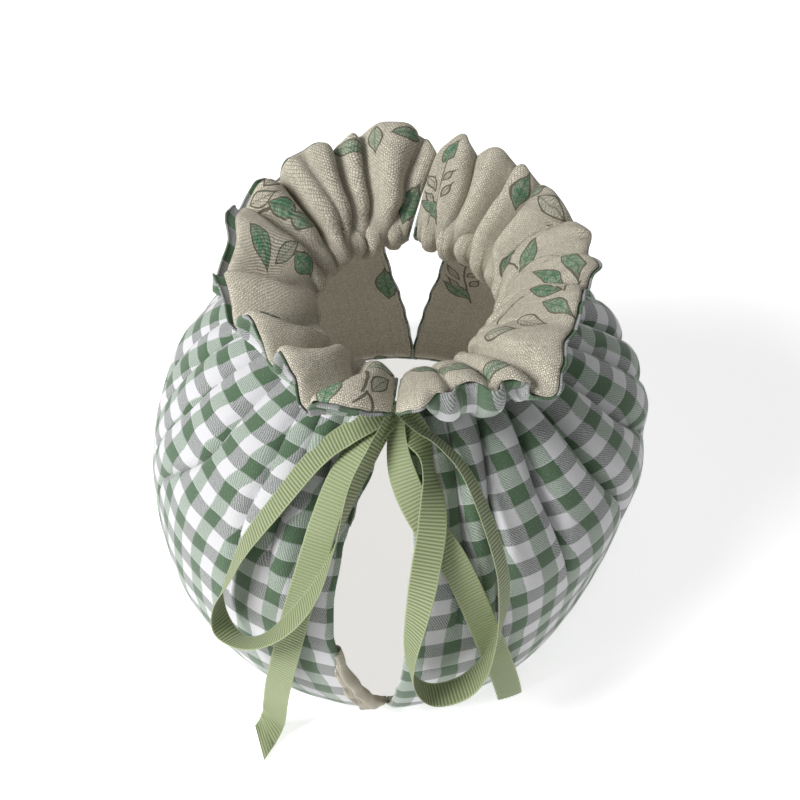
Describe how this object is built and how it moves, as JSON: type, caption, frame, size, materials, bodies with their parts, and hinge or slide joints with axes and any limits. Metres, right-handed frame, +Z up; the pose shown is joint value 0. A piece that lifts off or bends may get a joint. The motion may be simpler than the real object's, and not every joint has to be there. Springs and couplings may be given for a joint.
{
  "type": "tea cosy",
  "caption": "Padded tea cosy in checked cloth with a printed linen lining, flared gathered collar, slits for handle and spout, and a ribbon drawstring tied in a bow.",
  "frame": {"origin": "middle of the cosy's plan outline, bow included, at the plane its hem rests on", "axes": "+Z up, -Y towards the handle slit and the bow, +Y towards the spout slit, +X to the right seen from the handle side"},
  "size_m": [0.1937, 0.2109, 0.1562],
  "materials": {
    "gingham": "woven cotton check",
    "linen": "printed plain-weave linen",
    "grosgrain": "ribbed ribbon"
  },
  "bodies": {
    "root": {"outer_left": "gingham", "outer_right": "gingham", "lining_left": "linen", "lining_right": "linen", "drawstring_bow": "grosgrain"}
  },
  "joints": []
}
